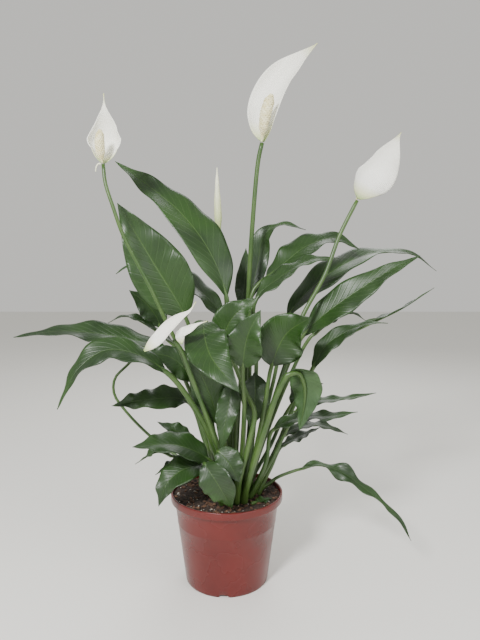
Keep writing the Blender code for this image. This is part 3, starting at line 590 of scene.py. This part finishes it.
def build_leaf(spec):
    start = ()
    if "root" in spec:
        start = ((spec["root"][0], spec["root"][1], SOIL_TOP + 0.3),)
    stalk = start + spec["stalk"]
    samples, marks = passing_curve(stalk + spec["blade"])
    lengths = running_lengths(samples)
    stalk_length = lengths[marks[len(stalk)]]
    blade_length = lengths[-1] - stalk_length
    radius = spec.get("radius", STALK_RADIUS)
    fold = math.tan(spec.get("fold", LEAF_FOLD))
    wave = 1.9 * spec.get("wave", LEAF_WAVE)
    face_base = Vector(spec["face"][0]).normalized()
    face_tip = Vector(spec["face"][1]).normalized()
    shift = noise.noise(Vector(stalk[0])) * 9.0

    def row(t):
        face = face_base.lerp(face_tip, t).normalized()
        centre, side, up = frame_at(samples, lengths, stalk_length + blade_length * t, face)
        half = max(spec["width"] / 2 * blade_outline(t), 0.25)

        def point(u):
            veins = math.cos(2 * math.pi * VEIN_PAIRS * (t - VEIN_LEAN * abs(u) ** VEIN_CURVE))
            soft = math.sqrt(u * u + 0.004)
            height = half * soft * fold * (1 - 0.35 * abs(u))
            height += QUILT * veins * abs(u) * (1 - abs(u)) * 2 * min(1.0, half / 8.0)
            ripple = math.sin(11.0 * t + shift) + 0.7 * math.sin(29.0 * t + 2 * shift)
            if u < 0:
                ripple = 0.6 * ripple + 0.8 * math.sin(24.0 * t + 3 * shift)
            height += wave * ripple * u * abs(u) * min(1.0, half / 8.0)
            return centre + side * (half * u) + up * height

        return point

    blade = sheet_piece(spec["name"] + "_blade", row, (ACROSS_CELLS, ALONG_CELLS),
                        [upper_material, under_material], SHEET_THICKNESS)
    place(blade, "leaf", spec["name"])
    rings = []
    total = stalk_length + RIB_REACH * blade_length
    for i in range(LEAF_STALK_CELLS + 1):
        distance = total * i / LEAF_STALK_CELLS
        share = max(0.0, (distance - stalk_length) / blade_length)
        face = face_base.lerp(face_tip, share).normalized()
        centre, side, up = frame_at(samples, lengths, distance, face)
        thick = radius * (1.2 - 0.2 * min(1.0, distance / stalk_length)) * (1 - share) ** 0.9
        thick = max(thick, 0.25)
        flare = 1.0 + 0.5 * max(0.0, 1 - distance / 18.0)
        sunk = centre - up * (0.8 * thick * min(1.0, share / 0.06) + 0.2 * min(1.0, share / 0.06))
        rings.append(round_ring(sunk, side, up, thick * flare, LEAF_STALK_SIDES))
    place(tube_piece(spec["name"] + "_rib", rings, stalk_material_painted_shade), "leaf", spec["name"])


for leaf in LEAVES + (FALLEN_LEAF,):
    build_leaf(leaf)


# ---------------------------------------------------------------- flower stalks
# Each flower stands on one smooth round stalk, thicker and greener than a leaf's, that
# grows up from the soil between the leaves.
STALKS = (
    ("flower_left_stalk", (-2.6, -14), 2.4,
     ((-9, -24, 165), (-33, -40, 234), (-51, -56, 286), (-62, -64, 312), (-73, -70, 339),
      (-88, -72, 369), (-102, -72, 398), (-110, -72, 422), (-118, -70, 447), (-120, -68, 465))),
    ("flower_top_stalk", (13.6, 2.4), 3.2,
     ((19, 12, 160), (23, 17, 255), (26, 14, 349), (30, 8, 417), (36, 4, 483), (40, 2, 501))),
    ("flower_right_stalk", (23.2, -7.8), 2.8,
     ((40, -10, 167), (64, -20, 250), (83, -24, 308), (109, -15, 355), (126, -8, 399),
      (145, -5, 437))),
    ("flower_twisted_stalk", (6.8, -16.5), 2.6,
     ((2.4, -25, 125), (-8, -43.2, 165), (-25, -63, 224), (-36, -75, 260), (-43, -80, 281),
      (-50, -84.5, 292))),
    ("flower_bud_stalk", (5.8, 17.5), 2.6,
     ((4, 44, 150), (2, 54, 249), (-2, 57, 323), (-7, 56, 379), (-10, 55, 399))),
)

STALK_TAPER = 0.75
STEM_CELLS = 60
STEM_SIDES = 20

for stalk_name, root_point, stalk_radius, route in STALKS:
    samples, marks = passing_curve(((root_point[0], root_point[1], SOIL_TOP + 0.3),) + route)
    lengths = running_lengths(samples)
    rings = []
    for i in range(STEM_CELLS + 1):
        centre, side, up = frame_at(samples, lengths, lengths[-1] * i / STEM_CELLS,
                                    Vector((0.3, -1.0, 0.2)).normalized())
        thick = stalk_radius * (1 - (1 - STALK_TAPER) * i / STEM_CELLS)
        rings.append(round_ring(centre, side, up, thick, STEM_SIDES))
    place(tube_piece(stalk_name + "_stem", rings, stalk_material_painted_shade), "stalk", stalk_name)


# ---------------------------------------------------------------- spathes
# The hooded bract behind each flower: one thin creamy-white sheet, cupped, with fine lines
# running from a green foot to a long drawn-out tip. It grows on the end of its stalk.
SPATHES = (
    ("flower_left_spathe",
     ((-120, -66.4, 466.6), (-120, -57, 477), (-120, -52.5, 490), (-119.5, -55, 504),
      (-119.5, -61, 517), (-119, -65, 534)),
     46, 80, 0.34, 2.6, (0.05, -1, 0.1)),
    ("flower_top_spathe",
     ((41.2, 3.9, 502.6), (44, 12, 524), (50.5, 18, 549), (64, 16, 574), (80, 8, 591),
      (99, -4, 605)),
     52, 62, 0.38, 1.3, (-0.5, -0.8, 0.15)),
    ("flower_right_spathe",
     ((146.3, -6.6, 438.8), (151, -12, 451), (162, -16, 469), (176, -11, 488),
      (193, -2, 511)),
     54, 60, 0.34, 1.5, (0.55, 0.8, 0.0)),
    ("flower_twisted_spathe",
     ((-78.5, -92, 282), (-66, -92, 292), (-55, -91, 304), (-43, -89, 315), (-34, -87, 321),
      (-28, -84, 330)),
     15, 50, 0.36, 1.9, (-0.2, -0.9, 0.4)),
    ("flower_twisted_bract",
     ((-42.6, -86.5, 288), (-42.6, -88.5, 298), (-34, -89.5, 303), (-26, -89, 308),
      (-17, -88, 311)),
     10, 50, 0.30, 2.0, (0, -0.9, 0.4)),
)

spathe_material, tree, shader = material_with_nodes("creamy_spathe", 0.45)
uv_node = tree.nodes.new("ShaderNodeUVMap")
uv_node.uv_map = "leaf_map"
split_node = tree.nodes.new("ShaderNodeSeparateXYZ")
tree.links.new(uv_node.outputs["UV"], split_node.inputs["Vector"])
tree.links.new(ramp(tree, split_node.outputs["Y"], ((0.0, (0.30, 0.42, 0.14, 1.0)),
                                                    (0.08, (0.70, 0.72, 0.46, 1.0)),
                                                    (0.20, (0.88, 0.88, 0.82, 1.0)),
                                                    (0.84, (0.88, 0.87, 0.78, 1.0)),
                                                    (1.0, (0.56, 0.58, 0.26, 1.0)))),
               shader.inputs["Base Color"])
lines = tree.nodes.new("ShaderNodeMath")
lines.operation = "MULTIPLY"
lines.inputs[1].default_value = 95.0
tree.links.new(split_node.outputs["X"], lines.inputs[0])
wavy = tree.nodes.new("ShaderNodeMath")
wavy.operation = "SINE"
tree.links.new(lines.outputs[0], wavy.inputs[0])
bump(tree, wavy.outputs[0], 0.35, 0.0004, shader)


SPATHE_CELLS = (26, 64)
SPATHE_THICKNESS = 0.7


def spathe_row(points, width, cup_degrees, widest, taper, face):
    samples, marks = passing_curve(points)
    lengths = running_lengths(samples)
    hollow = Vector(face).normalized()

    def row(t):
        centre, side, up = frame_at(samples, lengths, lengths[-1] * t, hollow)
        rise = math.sin(0.5 * math.pi * min(t / widest, 1.0)) ** 0.7
        fall = math.cos(0.5 * math.pi * max(0.0, (t - widest) / (1 - widest))) ** taper
        half = max(width / 2 * rise * fall, 1.5 if t == 0.0 else 0.3)
        cup = math.radians(cup_degrees) * min(1.0, 0.25 + half / (width / 2))
        bend = half / cup

        def point(u):
            edge = 0.9 * math.sin(13.0 * t + (2.0 if u > 0 else 0.0)) * u * u
            edge *= min(1.0, half / 8.0)
            return (centre + side * (bend * math.sin(u * cup))
                    + up * (bend * (1 - math.cos(u * cup)) + edge))

        return point

    return row


for spathe_name, ribs, full_width, cup_angle, widest_at, narrowing, looks in SPATHES:
    bent = spathe_row(ribs, full_width, cup_angle, widest_at, narrowing, looks)
    sheet = sheet_piece(spathe_name + "_sheet", bent, SPATHE_CELLS, [spathe_material], SPATHE_THICKNESS)
    place(sheet, "spathe", spathe_name)


# ---------------------------------------------------------------- spadices and bud
# In each open flower stands a cream finger covered in small round florets set in spirals.
# The bud is a spathe still rolled tight, and a small curl hangs where one stalk ends.
SPINDLES = (
    ("flower_left_spadix",
     ((-120.4, -69.3, 466.2), (-121, -71, 470), (-121.6, -72, 476), (-122, -73, 484),
      (-121.5, -73.5, 492), (-121, -73.5, 497)),
     (0.7, 1.5, 4.0, 4.4, 3.6, 1.2)),
    ("flower_top_spadix",
     ((39.6, 0.8, 502.0), (40, -3, 509), (41, -6, 517), (43.5, -8, 530), (47, -8.5, 542),
      (50, -8, 550)),
     (0.9, 1.6, 4.6, 6.0, 5.6, 2.0)),
    ("flower_right_spadix",
     ((144.6, -3.9, 438.2), (147, -1, 443), (150, 2, 450), (155, 5.5, 460), (160, 8, 469),
      (163, 9, 475)),
     (0.8, 1.5, 4.2, 5.2, 4.6, 1.6)),
    ("flower_bud_spathe",
     ((-10.1, 55, 399.7), (-10.6, 55, 410), (-11.1, 55, 424), (-11.7, 55, 442),
      (-12.1, 54.6, 462), (-12.2, 54, 483)),
     (1.5, 3.0, 4.6, 4.2, 2.6, 0.6)),
    ("flower_left_curl",
     ((-122.4, -68, 465.6), (-124.6, -68, 465.6), (-126.8, -68, 463), (-127.9, -68, 458)),
     (0.8, 0.8, 0.7, 0.5)),
)

spadix_material, tree, shader = material_with_nodes("cream_florets", 0.6)
coordinates = tree.nodes.new("ShaderNodeTexCoord").outputs["Object"]
tree.links.new(ramp(tree, noise_node(tree, coordinates, 240.0),
                    ((0.3, (0.62, 0.55, 0.26, 1.0)), (0.7, (0.86, 0.82, 0.58, 1.0)))),
               shader.inputs["Base Color"])
bud_material, tree, shader = material_with_nodes("rolled_bud", 0.5)
coordinates = tree.nodes.new("ShaderNodeTexCoord").outputs["Object"]
height_split = tree.nodes.new("ShaderNodeSeparateXYZ")
tree.links.new(coordinates, height_split.inputs["Vector"])
height_range = tree.nodes.new("ShaderNodeMapRange")
height_range.inputs["From Min"].default_value = 0.398
height_range.inputs["From Max"].default_value = 0.484
tree.links.new(height_split.outputs["Z"], height_range.inputs["Value"])
tree.links.new(ramp(tree, height_range.outputs["Result"], ((0.0, (0.16, 0.28, 0.06, 1.0)),
                                                           (0.35, (0.55, 0.60, 0.30, 1.0)),
                                                           (0.8, (0.78, 0.78, 0.58, 1.0)))),
               shader.inputs["Base Color"])
GOLDEN_TURN = 2.39996
SPINDLE_CELLS = 48
SPINDLE_SIDES = 24
FLORETS = 210
FLORET_RADIUS = 0.95
FLORET_SINK = 0.15

for spindle_name, centres, sizes in SPINDLES:
    samples, marks = passing_curve(centres)
    lengths = running_lengths(samples)
    facing = Vector((0.3, -1.0, 0.2)).normalized()

    def radius_at(distance):
        for a, b, first, last in zip(marks, marks[1:], sizes, sizes[1:]):
            if distance <= lengths[b] + 1e-6:
                share = (distance - lengths[a]) / (lengths[b] - lengths[a])
                share = share * share * (3 - 2 * share)
                return first + (last - first) * share
        return sizes[-1]

    rings = []
    for i in range(SPINDLE_CELLS + 1):
        distance = lengths[-1] * i / SPINDLE_CELLS
        centre, side, up = frame_at(samples, lengths, distance, facing)
        rings.append(round_ring(centre, side, up, radius_at(distance), SPINDLE_SIDES))
    is_spadix = spindle_name.endswith("spadix")
    skin = spadix_material if is_spadix else bud_material
    slot_name = "spadix" if is_spadix else "spathe"
    place(tube_piece(spindle_name + "_core", rings, skin), slot_name, spindle_name)
    if not is_spadix:
        continue
    florets = bmesh.new()
    for i in range(FLORETS):
        share = (i + 2) / (FLORETS + 2)
        distance = lengths[marks[1]] + (lengths[-1] - lengths[marks[1]]) * share
        centre, side, up = frame_at(samples, lengths, distance, facing)
        turn = i * GOLDEN_TURN
        out = side * math.cos(turn) + up * math.sin(turn)
        spot = (centre + out * (radius_at(distance) - FLORET_SINK)) * MM
        bmesh.ops.create_icosphere(florets, subdivisions=1, radius=FLORET_RADIUS * MM,
                                   matrix=Matrix.Translation(spot))
    place(mesh_piece(spindle_name + "_florets", florets, [spadix_material]), slot_name,
          spindle_name)


# ---------------------------------------------------------------- camera and light
# Eye level with the upper leaves, close in front, under soft studio light from the front.
camera_data = bpy.data.cameras.new("camera")
camera_data.lens = 31.5
camera_data.sensor_width = 36.0
camera = bpy.data.objects.new("camera", camera_data)
camera.location = (0.0155, -0.635, 0.363)
camera.rotation_euler = (math.radians(90.0 - 5.33), 0.0, 0.0)
bpy.context.scene.collection.objects.link(camera)
bpy.context.scene.camera = camera


def area_light(name, place_at, target, size, power):
    data = bpy.data.lights.new(name, "AREA")
    data.shape = "DISK"
    data.size = size
    data.energy = power
    light = bpy.data.objects.new(name, data)
    light.location = place_at
    aim = Vector(target) - Vector(place_at)
    light.rotation_euler = aim.to_track_quat("-Z", "Y").to_euler()
    bpy.context.scene.collection.objects.link(light)


area_light("key", (-0.45, -1.0, 0.95), (0.0, 0.0, 0.28), 0.25, 24.0)
area_light("fill", (0.9, -0.8, 0.7), (0.0, 0.0, 0.3), 0.9, 7.0)
area_light("back", (0.2, 1.1, 1.2), (0.0, 0.0, 0.3), 1.0, 9.0)
world = bpy.data.worlds.new("studio")
world.use_nodes = True
background = world.node_tree.nodes["Background"]
background.inputs["Color"].default_value = (0.86, 0.85, 0.81, 1.0)
background.inputs["Strength"].default_value = 0.8
bpy.context.scene.world = world
